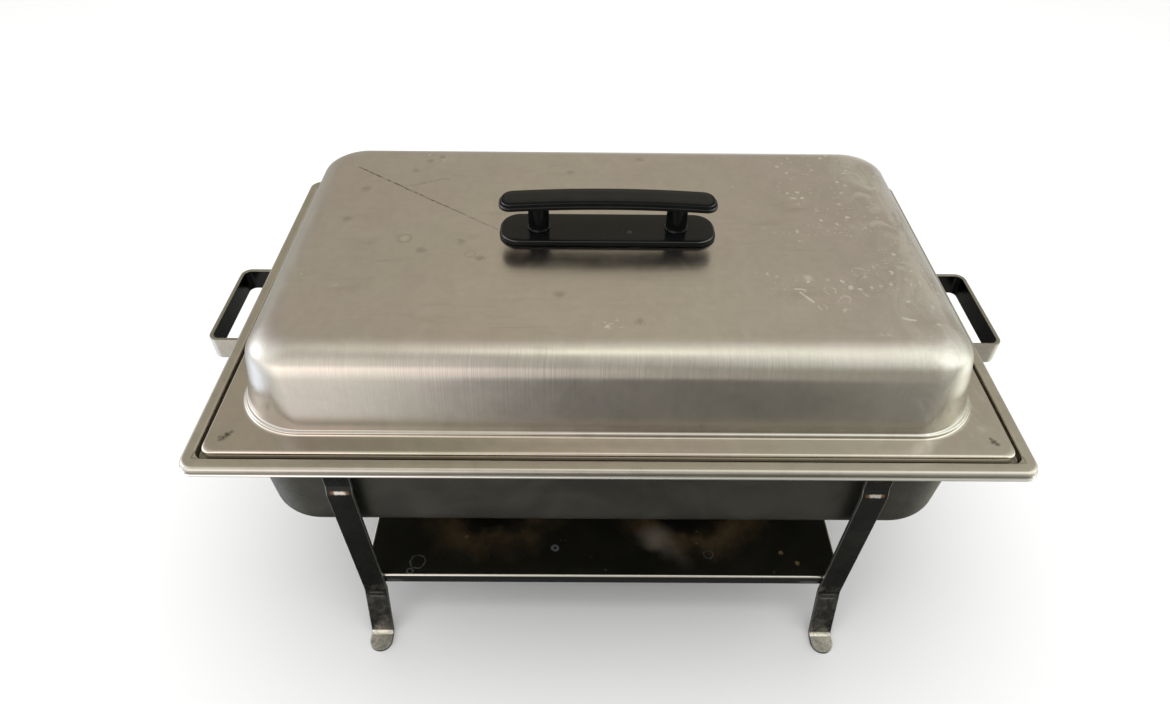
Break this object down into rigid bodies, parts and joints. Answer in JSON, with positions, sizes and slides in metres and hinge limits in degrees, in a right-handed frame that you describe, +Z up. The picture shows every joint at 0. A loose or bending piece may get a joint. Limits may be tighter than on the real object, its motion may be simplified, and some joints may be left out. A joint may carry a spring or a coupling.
{
  "type": "chafing dish food warmer",
  "caption": "Full-size steam-table food warmer: strap stand with fuel shelf, deep water pan, food pan, lift-off dome cover with black handle, and fuel burners.",
  "frame": {"origin": "centre of the footprint on the table, under the middle of the pans", "axes": "+X along the long side to the right, +Y to the back, +Z up; the front faces -Y"},
  "size_m": [0.6348, 0.3776, 0.342],
  "materials": {
    "cover_steel": "satin stainless, lightly worn and water-spotted",
    "rim_pan_steel": "satin stainless, dark tub",
    "food_pan_steel": "satin stainless",
    "strap_steel": "polished flat bar with bright edges and toes",
    "shelf_steel": "polished sheet, dark reflection, water-spotted",
    "black_phenolic": "semi-gloss black moulding",
    "insert_brass": "plain",
    "fastener_steel": "bright zinc",
    "burner_steel": "spun stainless"
  },
  "bodies": {
    "stand": {"frame_band": "strap_steel", "leg_front_left": "strap_steel", "leg_front_right": "strap_steel", "leg_rear_left": "strap_steel", "leg_rear_right": "strap_steel", "side_handle_left": "strap_steel", "side_handle_right": "strap_steel", "fuel_shelf": "shelf_steel"},
    "water_pan": {"water_pan": "rim_pan_steel"},
    "food_pan": {"food_pan": "food_pan_steel"},
    "cover": {"cover_dome": "cover_steel", "cover_base_plate": "black_phenolic", "cover_grip": "black_phenolic", "grip_insert_left": "insert_brass", "grip_insert_right": "insert_brass", "cover_washer_left": "fastener_steel", "cover_washer_right": "fastener_steel", "cover_screw_left": "fastener_steel", "cover_screw_right": "fastener_steel"},
    "burner_left": {"burner_cup_left": "burner_steel", "burner_lid_left": "burner_steel", "burner_pivot_left": "burner_steel"},
    "burner_right": {"burner_cup_right": "burner_steel", "burner_lid_right": "burner_steel", "burner_pivot_right": "burner_steel"},
    "damper_left": {"burner_damper_left": "burner_steel"},
    "damper_right": {"burner_damper_right": "burner_steel"}
  },
  "joints": [
    {"name": "water_pan_lift", "type": "slide", "parent": "stand", "child": "water_pan", "axis": [0, 0, 1], "range_m": [0, 0.14]},
    {"name": "food_pan_lift", "type": "slide", "parent": "water_pan", "child": "food_pan", "axis": [0, 0, 1], "range_m": [0, 0.1]},
    {"name": "cover_lift", "type": "slide", "parent": "food_pan", "child": "cover", "axis": [0, 0, 1], "range_m": [0, 0.12]},
    {"name": "burner_left_slide", "type": "slide", "parent": "stand", "child": "burner_left", "axis": [0, -1, 0], "range_m": [0, 0.26]},
    {"name": "burner_right_slide", "type": "slide", "parent": "stand", "child": "burner_right", "axis": [0, -1, 0], "range_m": [0, 0.26]},
    {"name": "damper_left_swing", "type": "hinge", "parent": "burner_left", "child": "damper_left", "pos_m": [-0.084, 0, 0.115], "axis": [0, 0, 1], "range_deg": [0, 100]},
    {"name": "damper_right_swing", "type": "hinge", "parent": "burner_right", "child": "damper_right", "pos_m": [0.084, 0, 0.115], "axis": [0, 0, -1], "range_deg": [0, 100]}
  ]
}
